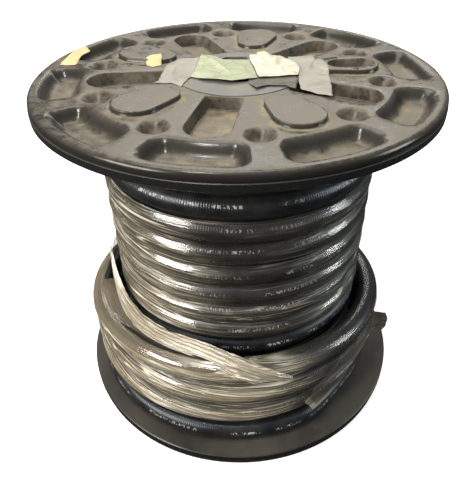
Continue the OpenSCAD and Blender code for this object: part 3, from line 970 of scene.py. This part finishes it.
def around(angle, radius, height, shift=1):
    """The point in that direction from the loose turns' centre, or from the axis where shift is 0."""
    return (radius * math.cos(angle) + shift * LOOSE_X, radius * math.sin(angle) + shift * LOOSE_Y, height)


def in_valley(radius, crest):
    """1 in the valley between two turns, 0 on a turn whose centre is at radius crest. The wraps paint shade with it.
    """
    return 1 - float(smooth((radius - crest - 0.62 * HOSE_R) / (0.3 * HOSE_R)))


def film_piece(name, node, rows, columns, at, flat, rests_on, held="stretched", closed=False,
               slot="stretch_film", area=None):
    """A film sheet over a grid of points, declared with the size it was cut to.

    at(v, u) returns a point and its paint, with v from 0 to 1 over the rows and u over the columns. The paint
    is (veil, tan, crease, metres along the pull, metres across it).
    """
    last = columns if closed else columns - 1
    made = [at(i / (rows - 1), j / last) for i in range(rows) for j in range(columns)]
    veil_and_shade, tan, crease_and_glint, along, across = np.array([paint for _, paint in made], float).T
    film = make_object(name, [point for point, _ in made], grid_faces(rows, columns, closed), LOOKS[slot],
                       paint={"veil_and_shade": veil_and_shade, "tan": tan, "crease_and_glint": crease_and_glint}, uv=np.stack([along, across], -1))
    add_piece(film, slot, node)
    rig.sheet(film, flat=flat, held=held, rests_on=rests_on, area=area)


def in_front(angle, centre, half, soft):
    """1 near the direction centre, 0 further than half plus soft from it, in degrees."""
    off = abs((math.degrees(angle) - centre + 180) % 360 - 180)
    return float(smooth((half + soft - off) / soft))


def make_main_wrap():
    """Wrap over the main winding, with most creases at the left, where it is pulled towards the strand. The pale lines
    at the left and right also stand in for painted highlights.
    """
    low, high = (corner.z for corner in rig.box("film_main_wrap"))
    crests = [(LAYER_R, FIRST_Z + k * PITCH) for k in range(TURNS)]

    def at(v, u):
        angle = from_back(u)
        top = high + (5 * rough(math.cos(angle) * 3, math.sin(angle) * 3, 5.0) - 3) * MM
        height = low + (top - low) * v
        radius = over_crests(height, crests) + CLEAR + wrinkles(angle, height, 1.0)
        # More pale lines at the left and right, partly painted highlights of the side lamps; cloudier and tanner at
        # the left; painted clearer in the valleys between turns, a painted shade
        left, right = in_front(angle, 212, 18, 38), in_front(angle, 322, 14, 30)
        valley = in_valley(radius, LAYER_R)
        veil_and_shade = 0.15 + 0.36 * left * (1 - 0.4 * v) - 0.08 * valley
        crease_and_glint = 0.16 + 0.42 * left + 0.16 * right + 0.10 * (1 - v) + 0.10 * valley
        tan = 0.08 + 0.75 * left * (1 - 0.5 * v)
        return around(angle, radius, height, 0), (veil_and_shade, tan, crease_and_glint, angle * LAYER_R, height)

    width = 2 * math.pi * (LAYER_R + HOSE_R)
    film_piece("main_film", "film_main_wrap", 92, 400, at, (1.1 * (high - low), width), ["hose"], closed=True)


def make_outer_wrap():
    """Wrap over the upper three loose turns. On the right its last rows run on over the top turn's crest."""
    rows, over = 86, 14
    body = rows - over - 1

    def at(v, u):
        row, angle = round(v * (rows - 1)), from_back(u)
        up, beyond = min(1, row / body), max(0, row - body) / over
        crests = loose_crests(angle)
        top = loose_top(angle) + FILM_TOP
        bottom = (71 - 8 * math.sin(angle) + 2 * rough(math.cos(angle) * 5, math.sin(angle) * 5, 8.0)) * MM
        height = bottom + (top - bottom) * up
        fold = 1.3 * wrinkles(angle, height, 4.0)
        radius = over_crests(height, crests) + CLEAR + fold
        if beyond:
            right = in_front(angle, 325, 50, 14)
            bend = math.asin(FILM_TOP / HOSE_R) + math.radians(3 + 87 * right) * beyond
            reach = HOSE_R + CLEAR + 0.4 * fold
            radius, height = crests[-1][0] + reach * math.cos(bend), crests[-1][1] + reach * math.sin(bend)
        # Paler, tanner and more lined towards the left front. In the valleys between turns the film is painted clearer
        # and less tan: painted shade
        front = in_front(angle, 220, 50, 42)
        valley = in_valley(radius, min(crests, key=lambda crest: abs(crest[1] - height))[0])
        veil_and_shade = 0.26 + 0.46 * front - 0.26 * valley + 0.10 * beyond
        tan = 0.10 + 0.85 * front - 0.45 * valley
        crease_and_glint = 0.18 + 0.46 * front - 0.35 * beyond
        pull = angle * LOOSE_R
        return around(angle, radius, height), (veil_and_shade, tan, crease_and_glint, pull, height + 0.05 * pull)

    width = 2 * math.pi * (LOOSE_R + HOSE_R)
    film_piece("outer_film", "film_outer_wrap", rows, 420, at, (0.14, width), ["hose"], closed=True)


# The gathered strand: direction in degrees, radius and height in millimetres of the points it runs through
STRAND_WAY = [
    (-166, 212, 272), (-159, 214, 243), (-148, 217, 219), (-136, 220, 211), (-125, 222, 209),
    (-115, 225, 211), (-106, 230, 214), (-99, 238, 214), (-92, 250, 212), (-86, 258, 207),
    (-80, 261, 199), (-74, 261, 188),
]
# Its width in millimetres and how far it faces up, in degrees, at the same points
STRAND_WIDTH = (20, 26, 26, 24, 24, 26, 28, 30, 32, 30, 20, 8)
STRAND_UP = (6, 12, 26, 40, 50, 52, 48, 42, 34, 24, 12, 4)
# Its length in metres
STRAND_L = 0.46


def spline(rows, share):
    """A smooth curve through rows of values at share (0 to 1)."""
    rows = np.asarray(rows, float)
    at = share * (len(rows) - 1)
    k = np.clip(np.floor(at).astype(int), 0, len(rows) - 2)
    t = (at - k)[:, None]
    pick = lambda i: rows[np.clip(i, 0, len(rows) - 1)]
    p0, p1, p2, p3 = pick(k - 1), pick(k), pick(k + 1), pick(k + 2)
    return 0.5 * (2 * p1 + (p2 - p0) * t + (2 * p0 - 5 * p1 + 4 * p2 - p3) * t ** 2
                  + (3 * p1 - p0 - 3 * p2 + p3) * t ** 3)


def make_strand():
    """The film's gathered end: a pleated band that fans out where it joins the wraps."""
    rows, pleats = 150, 11
    share = np.linspace(0, 1, rows)
    way = spline([(*w, width, up) for w, width, up in zip(STRAND_WAY, STRAND_WIDTH, STRAND_UP)], share)
    angle, tilt = np.radians(way[:, 0]), np.radians(way[:, 4])
    line = np.stack([way[:, 1] * np.cos(angle), way[:, 1] * np.sin(angle), way[:, 2]], -1) * MM
    ahead = unit(np.gradient(line, axis=0))
    normal = np.stack([np.cos(angle) * np.cos(tilt), np.sin(angle) * np.cos(tilt), np.sin(tilt)], -1)
    normal = unit(normal - ahead * np.sum(normal * ahead, 1, keepdims=True))
    across = np.cross(normal, ahead)

    def at(v, u):
        i, c = round(v * (rows - 1)), u - 0.5
        wander = 0.05 * rough(v * 7, c * 4, 1.0)
        pleat = math.sin(math.pi * (pleats * (c + wander) + 0.5)) + 0.5 * rough(c * 16, v * 4, 7.0)
        rise = ((0.8 + 0.8 * math.sin(math.pi * v)) * pleat + 3.0 * math.cos(math.pi * c) + 0.8) * MM
        ragged = 1 + 0.16 * rough(v * 22, 9 * c, 3.0)
        point = line[i] + across[i] * (c + wander) * ragged * way[i, 3] * MM + normal[i] * rise
        ends = float(smooth(v / 0.15) * smooth((1 - v) / 0.2))
        veil_and_shade = 0.30 + 0.34 * ends + 0.25 * rough(v * 5, c * 7, 5.0) + 0.16 * pleat
        tan = 0.55 + 0.35 * rough(c * 9, v * 3, 4.0)
        return point, (veil_and_shade, tan, 0.45, STRAND_L * v, c * way[i, 3] * MM)

    film_piece("film_strand_band", "film_strand", rows, 41, at, (0.085, STRAND_L),
               ["main_film", "outer_film"], held="gathered", slot="film_rope", area=0.02)


def make_shoulder():
    """Film drawn tight from the top loose turn to the strand, with a slit where the strand pulls it away."""
    start, stop, strand_from = 100, 266, 192
    over = 0.4
    way = spline(STRAND_WAY, np.linspace(0, 1, 120))

    def inner_edge(turn, top):
        """(radius, height) of the edge at the strand. Behind the slit it comes down again to the turn."""
        if turn > strand_from:
            return [float(np.interp(turn - 360, way[:, 0], way[:, k])) * MM for k in (1, 2)]
        back = float(smooth((strand_from - turn) / 58))
        return (212 + 13 * back) * MM, 264 * MM + (top - 240 * MM) * back

    def at(v, u):
        turn = start + (stop - start) * u
        angle = math.radians(turn)
        top = loose_top(angle)
        reach, rise = inner_edge(turn, top)
        slit = float(smooth((206 - turn) / 17) * smooth((turn - 181) / 6))
        # A quarter round over the turn, then a straight pull inwards
        bend = math.radians(20 + 62 * min(1, v / over))
        radius = LOOSE_R + (HOSE_R + CLEAR) * math.cos(bend)
        height = top + (HOSE_R + CLEAR) * math.sin(bend)
        if v > over:
            t = (v - over) / (1 - over) * (1 - 0.75 * slit)
            inner_r = reach - LOOSE_X * math.cos(angle) - LOOSE_Y * math.sin(angle) + 1 * MM
            radius += (inner_r - radius) * t
            height += (rise - 4 * MM - height) * t ** 1.6 - 2.5 * MM * math.sin(math.pi * t)
        height += 1.4 * wrinkles(angle, height + radius, 12.0)
        veil_and_shade = 0.80 + 0.10 * rough(angle * 5, v * 3, 2.0) - 0.15 * v
        pull = angle * LOOSE_R
        return around(angle, radius, height), (veil_and_shade, 0.62 - 0.15 * v, 0.10, pull, 0.07 * v + 0.05 * pull)

    film_piece("shoulder_film", "film_shoulder", 30, 200, at, (0.048, 0.70), ["hose", "outer_film"])


def make_tail():
    """The wrap's loose corner, a flat pull of film that leaves the turns at its lower right."""
    middle, reach = math.radians(-47), LOOSE_R + HOSE_R + 2.4 * MM
    # The piece's corners: along the wrap in millimetres, and height
    near_low, near_top = np.array((-66, 88)), np.array((-86, 122))
    far_low, far_top = np.array((60, 163)), np.array((56, 183))

    def at(v, u):
        bow = math.sin(math.pi * u)
        low = near_low + (far_low - near_low) * u - np.array((0, 3.0 * bow))
        high = near_top + (far_top - near_top) * u + np.array((0, 18.0 * bow))
        s, z = (low + (high - low) * v) * MM
        curl = max(0.0, 2.6 * math.exp(-7 * v) + 1.2 * rough(u * 5, v * 3, 3.0)) * MM
        # Partly bent round the turns, partly straight
        radius = reach + 0.4 * s * s / (2 * reach) + curl
        # The edges are painted paler and more lined, a painted highlight along the film's edge; the tip is tan
        rim = float(smooth((0.07 - min(v, u)) / 0.05))
        tip = math.exp(-((u - 0.04) / 0.14) ** 2 - (v / 0.6) ** 2)
        veil_and_shade, tan = 0.40 + 0.35 * rim + 0.45 * tip, 0.15 + 0.25 * rim + 0.7 * tip
        return around(middle + s / reach, radius, z), (veil_and_shade, tan, 0.22 + 0.6 * rim, s, z - 0.5 * s)

    film_piece("film_tail_corner", "film_tail", 26, 44, at, (0.045, 0.15), ["outer_film"])


def make_end_tab():
    """The film's folded end, a stiff pleat standing out at the right, its far corners clipped."""
    low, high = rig.box("film_end_tab")

    def at(v, u):
        clipped = 1 - 0.24 * max(0.0, abs(2 * v - 1) - 0.45) / 0.55 if u > 0.4 else 1
        x = low.x + (high.x - low.x) * u * clipped
        y = (low.y + high.y) / 2 + (1.6 * math.sin(3 * u + 2 * v) + 1.2 * rough(u * 3, v * 4, 6.0)) * MM
        z = low.z + (high.z - low.z) * v
        rim = float(smooth((0.09 - min(v, 1 - v, 1 - u)) / 0.05))
        return (x, y, z), (0.90 + 0.1 * rim, 1.0, 0.30 + 0.3 * rim, x, z)

    film_piece("film_end_pleat", "film_end_tab", 22, 20, at, (0.03, 0.052), ["outer_film"], held="folded")


# ---- Papers and tapes ----

def outline_of(node):
    """Corners of the flat top of a CAD plate, in order."""
    mesh = frame["nodes"][node].data
    top = max(v.co.z for v in mesh.vertices)
    key = lambda i: (round(mesh.vertices[i].co.x * 1e5), round(mesh.vertices[i].co.y * 1e5))
    edges = {}
    for face in mesh.polygons:
        if face.normal.z > 0.9 and all(mesh.vertices[i].co.z > top - 0.05 * MM for i in face.vertices):
            ids = list(face.vertices)
            for a, b in zip(ids, ids[1:] + ids[:1]):
                a, b = key(a), key(b)
                if (b, a) in edges:
                    del edges[(b, a)]
                else:
                    edges[(a, b)] = True
    follow = dict(edges.keys())
    walk = [next(iter(follow))]
    while follow[walk[-1]] != walk[0]:
        walk.append(follow[walk[-1]])
    return np.array(walk) * 1e-5


def leaf(outline, spacing, rag, seed):
    """(points, faces) of a flat piece with that outline: its edge wanders by rag, its inside is a net."""
    edge = []
    for a, b in zip(outline, np.roll(outline, -1, 0)):
        count = max(1, round(np.linalg.norm(b - a) / spacing))
        for p in (a + (b - a) * k / count for k in range(count)):
            x, y = 160 * p
            edge.append(p + rag * np.array((rough(x, y, seed), rough(x, y, seed + 5))))
    edge = np.array(edge)
    spots = net(edge.min(0), edge.max(0), spacing)
    spots = clear_of(spots[inside(spots, edge)], edge, 0.5 * spacing)
    plan = [Vector(p) for p in np.concatenate([edge, spots])]
    n = len(edge)
    made = geometry.delaunay_2d_cdt(plan, [(i, (i + 1) % n) for i in range(n)], [], 1, 1e-7)
    return np.array([tuple(v) for v in made[0]]), [tuple(f) for f in made[2]]


def lay(name, outline, spacing, rag, height, slot, flat, rests_on, area=None):
    """A paper or tape for the node that its name starts with, at height(x, y) in metres above the flange."""
    plan, faces = leaf(outline, spacing, rag, len(name))
    piece = make_object(name, [(x, y, HIGH_FACE + height(x, y)) for x, y in plan], faces, LOOKS[slot])
    thickness = piece.modifiers.new("thickness", "SOLIDIFY")
    thickness.thickness = 0.25 * MM
    thickness.offset = 1.0
    add_piece(piece, slot, name.rsplit("_", 1)[0])
    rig.sheet(piece, flat=flat, held="laid", rests_on=[rests_on], area=area)


def ridges(x, y, *folds):
    """Height in metres of soft straight folds, each (start, end, half-width, height) in millimetres."""
    total = 0.0
    for start, end, width, high in folds:
        p, along = np.array((x, y)) / MM - start, np.subtract(end, start)
        t = float(np.clip(p @ along / (along @ along), 0, 1))
        off = float(np.linalg.norm(p - along * t)) / width
        total += high * MM * max(0.0, 1 - off) ** 1.3 * math.sin(math.pi * min(max(t, 0.06), 0.94))
    return total


def lumps(x, y, scale, seed):
    """Noise of the place, from 0 up."""
    return max(0.0, rough(x * scale, y * scale, seed))


def lifted(y, start, span):
    """Share of the lift of an edge that curls up from y = start downwards over span, in millimetres."""
    return float(smooth((start * MM - y) / (span * MM)))


def bed(x, y):
    """Height above the face of what the papers rest on: the collar of the arbor ring."""
    off = math.hypot(x, y) - 86.5 * MM
    return 1.5 * MM * float(smooth((3 * MM - off) / (5 * MM)))


def on_pad(x, y, which):
    """Height of what lies on the rounded inner end of that pad, up from the face in metres."""
    angle = PATTERN + STEP10 + which * STEP5
    off = math.hypot(x - PAD_IN * math.cos(angle), y - PAD_IN * math.sin(angle)) - PAD_IN_R
    return (PAD_H + 0.3 * MM) * float(smooth((5 * MM - off) / (6 * MM)))


def make_duct_tapes():
    def left(x, y):
        folds = ridges(x, y, ((-98, 26), (-62, 48), 5, 1.8), ((-104, -20), (-64, 6), 4, 1.5),
                       ((-90, -38), (-66, -22), 5, 2.2), ((-84, 62), (-88, -30), 3, 0.8))
        return bed(x, y) + folds + (0.5 + 0.5 * lumps(x, y, 60, 1.0)) * MM

    def right(x, y):
        folds = ridges(x, y, ((84, -58), (120, -40), 5, 1.8), ((92, -76), (116, -62), 4, 1.4),
                       ((80, -20), (104, -30), 4, 1.2), ((78, 52), (112, 60), 6, 1.8))
        return max(bed(x, y), on_pad(x, y, 1)) + folds + (0.5 + 0.5 * lumps(x, y, 60, 2.0)) * MM

    # The strip at the right lies over the end of a pad, so it is longer than the flat plate in CAD
    strip = np.array([(74, 64), (112, 70), (114, 49), (121, 30), (125, 8), (124, -36), (118, -88), (100, -81),
                      (81, -64), (81, -34), (87, 13), (76, 49)]) * MM
    for name, outline, height, length, area in (
            ("duct_tape_left_piece", outline_of("duct_tape_left"), left, 0.13, 0.0052),
            ("duct_tape_right_piece", strip, right, 0.16, 0.0062)):
        lay(name, outline, 2.4 * MM, 0.9 * MM, height, "duct_tape", (0.05, length),
            "upper_flange_moulding_shell", area=area)


def make_notes():
    def green(x, y):
        folds = ridges(x, y, ((-50, 62), (-14, 2), 6, 5.0), ((-40, 66), (-20, 40), 4, 2.5),
                       ((-30, 22), (-8, -8), 4, 3.0))
        crumpled = ridges(x, y, ((-56, 30), (-26, 26), 4, 3.0), ((-58, 10), (-30, 8), 4, 2.6),
                          ((-60, -8), (-34, -6), 4, 2.2)) + 3.0 * MM * max(0.0, rough(x * 55, y * 90, 3.0))
        crumpled *= float(smooth((-22 * MM - x) / (22 * MM)))
        return bed(x, y) + folds + crumpled + (1.3 + 2.4 * lifted(y, -24, 14)) * MM

    def cream(x, y):
        folds = ridges(x, y, ((36, 84), (54, 20), 9, 6.5), ((64, 64), (48, 8), 8, 5.5),
                       ((22, 66), (40, 30), 6, 3.5), ((84, 18), (50, -6), 8, 5.0),
                       ((84, -12), (56, -22), 6, 4.0))
        crumpled = (2.4 * lumps(x, y, 38, 4.0) + 1.0 * lumps(x, y, 95, 6.0)) * MM
        crumpled *= float(smooth((x - 24 * MM) / (14 * MM)))
        return bed(x, y) + folds + crumpled + (1.7 + 2.0 * lifted(y, -14, 12)) * MM

    def flap(x, y):
        rest = 0.7 + 0.4 * rough(x * 40, y * 40, 5.0) + 1.4 * lifted(y, -50, 12)
        return bed(x, y) + ridges(x, y, ((24, -64), (30, -44), 4, 1.6)) + rest * MM

    for name, spacing, rag, height, slot_name, flat, area in (
            ("note_green_sheet", 2.0, 0.3, green, "paper_green", (0.09, 0.11), 0.0075),
            ("note_cream_sheet", 1.8, 0.6, cream, "paper_cream", (0.08, 0.11), 0.0066),
            ("kraft_flap_sheet", 2.4, 0.3, flap, "kraft", (0.055, 0.065), None)):
        lay(name, outline_of(name[:-len("_sheet")]), spacing * MM, rag * MM, height, slot_name, flat,
            "upper_arbor_ring", area=area)


def make_masking_tapes():
    def rim(x, y):
        curl = ridges(x, y, ((-244, 120), (-252, 60), 6, 2.5), ((-228, 96), (-236, 50), 5, 1.5))
        return curl + (0.5 + 0.8 * lumps(x, y, 70, 7.0) + 1.2 * lumps(x, y, 25, 8.0)) * MM

    def flag(x, y):
        return on_pad(x, y, 3) + (0.5 + 1.2 * lumps(x, y, 60, 9.0)) * MM

    crumpled = np.array([(-133, 46), (-124, 60), (-112, 63), (-109, 50), (-109, 34), (-120, 26),
                         (-130, 34)]) * MM
    for name, outline, spacing, rag, height, length in (
            ("masking_tape_rim_piece", outline_of("masking_tape_rim"), 2.2, 0.8, rim, 0.09),
            ("masking_tape_flag_piece", crumpled, 2.0, 0.6, flag, 0.037)):
        lay(name, outline, spacing * MM, rag * MM, height, "masking_tape", (0.025, length),
            "upper_flange_moulding_shell")


# ---- CAD nodes kept as they are, with their own finish ----

KEPT = {
    "disc_black": ("upper_flange_disc", "lower_flange_disc"),
    "arbor_ring": ("upper_arbor_ring", "lower_arbor_ring"),
    "barrel_black": ("barrel",),
    "zinc_steel": ("tie_rods", "lower_rod_washers", "upper_rod_washers", "lower_rod_nuts", "upper_rod_nuts"),
}


def finish_kept():
    for slot_name, nodes in KEPT.items():
        for node in nodes:
            mesh = frame["nodes"][node].data
            mesh.materials.clear()
            mesh.materials.append(LOOKS[slot_name])


# ---- Floor and light ----

def make_floor():
    """A plain pale floor, bright enough to run into the backdrop. It takes shadows and casts no light."""
    look = Look("floor_white", Base_Color=(0.86, 0.86, 0.85, 1), Roughness=0.9, Emission_Color=(1, 1, 1, 1),
                Emission_Strength=0.62)
    corners = [(-8, -8, 0), (8, -8, 0), (8, 8, 0), (-8, 8, 0)]
    floor = make_object("floor", corners, [(0, 1, 2, 3)], look.material)
    floor.visible_diffuse = floor.visible_glossy = floor.visible_transmission = floor.visible_shadow = False
    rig.stage(floor)


def make_world():
    """A white backdrop for the camera. The light it gives is dim, and dimmer from below."""
    world = bpy.data.worlds.new("world")
    world.use_nodes = True
    tree = world.node_tree
    tree.nodes.clear()
    up = add_node(tree, "SeparateXYZ", {0: add_node(tree, "TexCoord")}, out=2)
    level = add_node(tree, "MapRange", {0: up, 1: -0.4, 2: 0.8, 3: 0.05, 4: 0.42})
    given = add_node(tree, "Background", {"Color": (0.92, 0.96, 1.0, 1), "Strength": level})
    shown = add_node(tree, "Background", {"Color": (1, 1, 1, 1)})
    seen = add_node(tree, "LightPath")
    add_node(tree, "OutputWorld", {0: add_node(tree, "MixShader", {0: seen, 1: given, 2: shown})})
    bpy.context.scene.world = world
    bpy.context.scene.view_settings.view_transform = "Standard"


# Name, place, height aimed at on the axis, size, power and colour of each area light
LIGHTS = (
    ("overhead", (-0.3, 0.3, 2.5), 0.5, (1.6, 1.3), 46, (1.0, 0.95, 0.86)),
    ("lamp", (-0.5, -0.9, 2.1), 0.4, (0.22, 0.22), 17, (1.0, 0.97, 0.9)),
    ("back_window", (0.2, 2.2, 1.9), 0.5, (2.2, 0.8), 28, (1.0, 0.95, 0.86)),
    ("left_window", (-1.65, -1.25, 1.15), 0.3, (1.1, 0.9), 66, (1.0, 0.96, 0.88)),
    ("right_window", (2.2, -0.35, 0.85), 0.3, (0.7, 1.1), 26, (0.92, 1.0, 0.96)),
)


def make_lights():
    """Soft area lights, all aimed at the reel's axis."""
    for name, place, aim, size, power, colour in LIGHTS:
        data = bpy.data.lights.new(name, "AREA")
        data.shape = "RECTANGLE"
        data.size, data.size_y = size
        data.energy = power
        data.color = colour
        light = bpy.data.objects.new(name, data)
        bpy.context.scene.collection.objects.link(light)
        light.location = place
        light.rotation_mode = "QUATERNION"
        light.rotation_quaternion = (Vector((0, 0, aim)) - Vector(place)).to_track_quat("-Z", "Y")


def main():
    make_camera()
    make_hose()
    make_mouldings()
    finish_kept()
    make_main_wrap()
    make_outer_wrap()
    make_shoulder()
    make_strand()
    make_tail()
    make_end_tab()
    make_duct_tapes()
    make_notes()
    make_masking_tapes()
    make_floor()
    make_world()
    make_lights()
    low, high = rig.bounds()
    with open("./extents.json", "w") as out:
        json.dump({"cad": [list(cad_low), list(cad_high)], "visual": [list(low), list(high)]}, out)


main()
